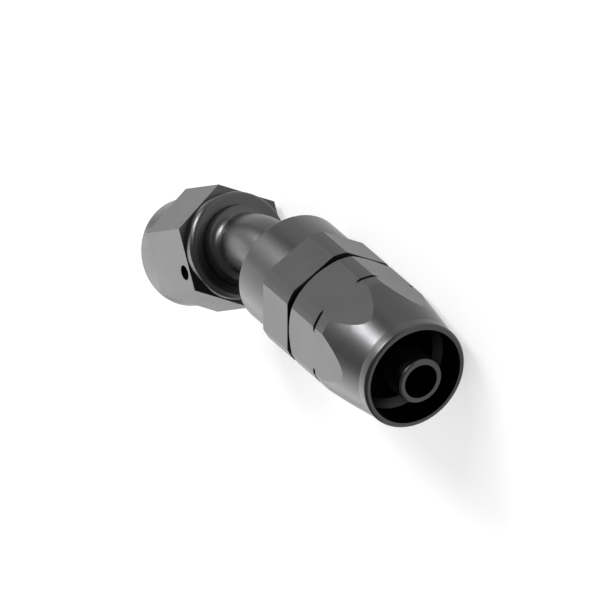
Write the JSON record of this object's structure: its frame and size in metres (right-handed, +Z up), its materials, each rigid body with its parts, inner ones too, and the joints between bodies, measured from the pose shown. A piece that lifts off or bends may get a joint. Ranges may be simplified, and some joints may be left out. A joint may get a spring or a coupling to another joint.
{
  "type": "hose_end_fitting",
  "caption": "Reusable swivel hose end with a 30 degree elbow in black and dark grey anodised aluminium: union nut, bent tube, swivel body with hex and bell, tapered hex socket",
  "frame": {"origin": "centre of the socket's mouth face on the main axis, where the hose nipple comes out", "axes": "+X runs along the main axis from the hose mouth to the elbow, +Y is the side the elbow turns to, +Z is up and two flats of each hex face it, so the fitting lies on its side"},
  "size_m": [0.0634, 0.0252, 0.0158],
  "materials": {
    "socket_black": "satin black anodised",
    "body_black": "satin black anodised",
    "elbow_grey": "satin dark grey anodised",
    "nut_grey": "satin dark grey anodised",
    "wire_steel": "bright drawn wire",
    "seal_rubber": "matte, oiled"
  },
  "bodies": {
    "socket": {"socket": "socket_black"},
    "wire_carrier": {"swivel_wire": "wire_steel"},
    "swivel_body": {"swivel_body": "body_black"},
    "elbow": {"elbow": "elbow_grey", "front_seal": "seal_rubber", "rear_seal": "seal_rubber", "nut_wire": "wire_steel"},
    "swivel_nut": {"swivel_nut": "nut_grey"}
  },
  "joints": [
    {"name": "body_advance", "type": "slide", "parent": "socket", "child": "wire_carrier", "axis": [1, 0, 0], "range_m": [0, 0.0064]},
    {"name": "body_turn", "type": "hinge", "parent": "wire_carrier", "child": "swivel_body", "pos_m": [0.0225, 0, 0], "axis": [1, 0, 0], "range_deg": [0, 1800]},
    {"name": "elbow_swivel", "type": "hinge", "parent": "wire_carrier", "child": "elbow", "pos_m": [0.0272, 0, 0], "axis": [1, 0, 0], "continuous": true},
    {"name": "nut_spin", "type": "hinge", "parent": "elbow", "child": "swivel_nut", "pos_m": [0.04012, 0, 0], "axis": [0.866, 0.5, 0], "continuous": true}
  ],
  "couplings": [
    {"joint": "body_advance", "follows": "body_turn", "m_per_rad": 0.00020213}
  ]
}
